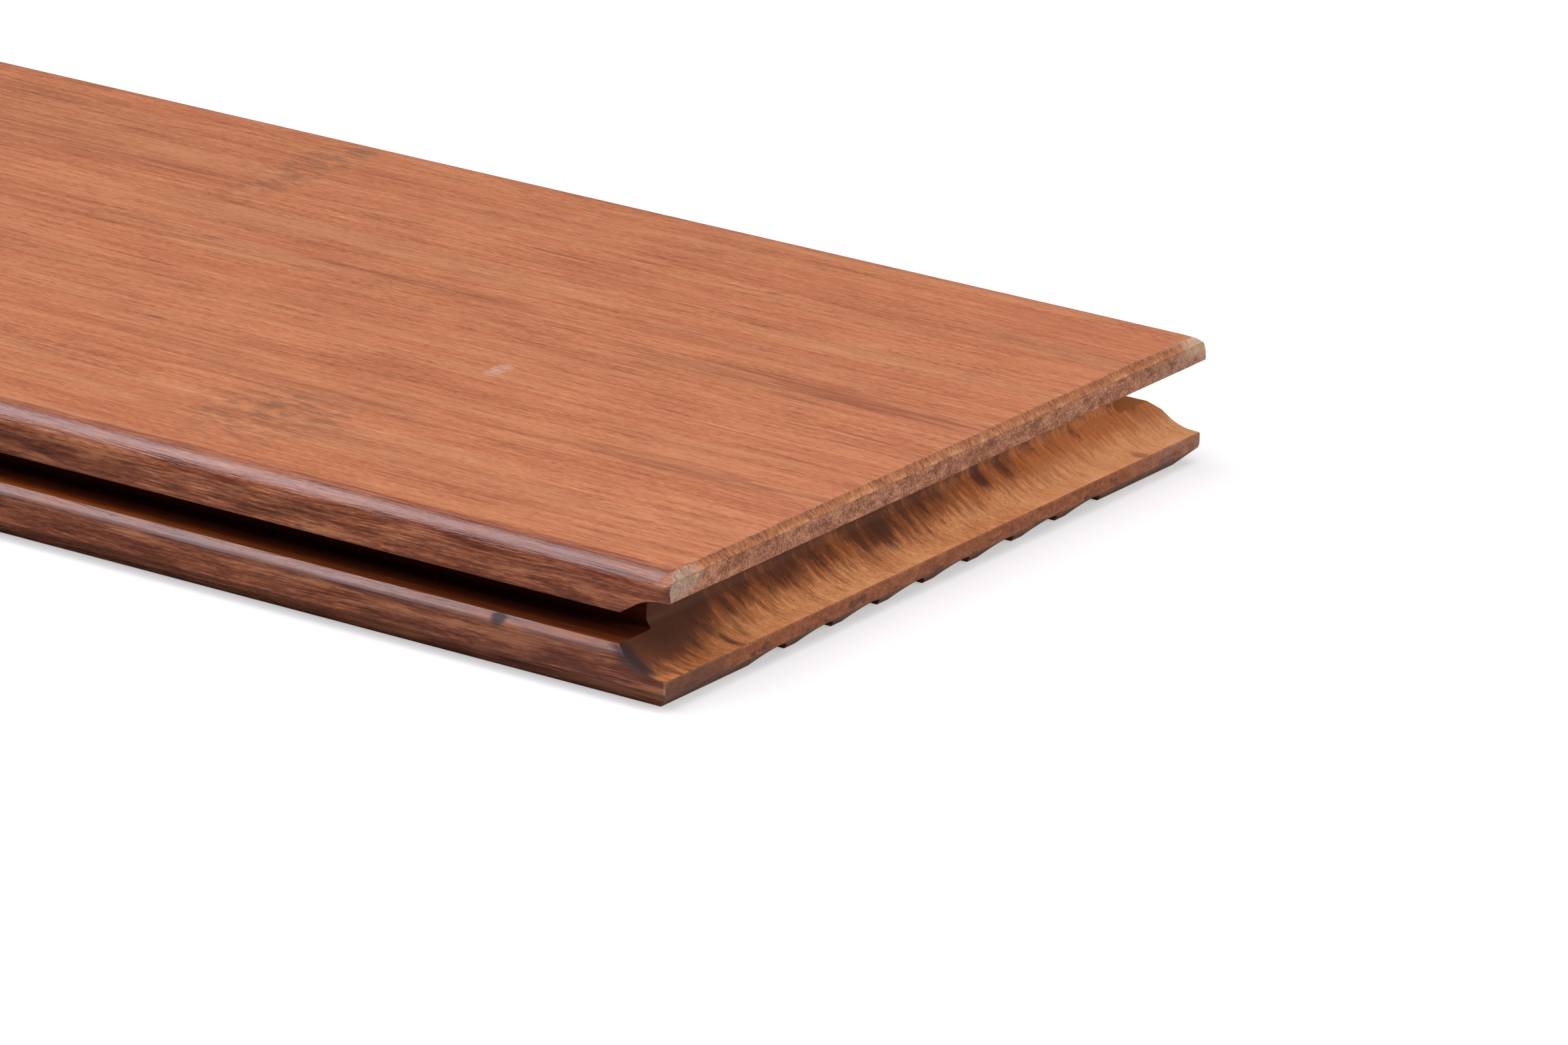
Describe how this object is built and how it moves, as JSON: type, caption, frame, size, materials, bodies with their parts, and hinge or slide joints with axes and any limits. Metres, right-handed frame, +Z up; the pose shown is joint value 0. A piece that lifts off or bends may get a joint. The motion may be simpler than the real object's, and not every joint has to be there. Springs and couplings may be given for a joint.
{
  "type": "bamboo decking board",
  "caption": "Strand-woven bamboo decking board with rounded long edges, a clip groove along each side, a bell-shaped groove across one end and shallow relief grooves underneath.",
  "frame": {"origin": "middle of the board's length and width, on the plane it lies on", "axes": "+X along the board toward the grooved end, +Y across the board, +Z up out of the walking face"},
  "size_m": [1.85, 0.14, 0.02],
  "materials": {
    "decking_board": "strand-woven bamboo, satin oiled faces, sealed ends, raw routed end groove"
  },
  "bodies": {
    "root": {"decking_board": "decking_board"}
  },
  "joints": []
}
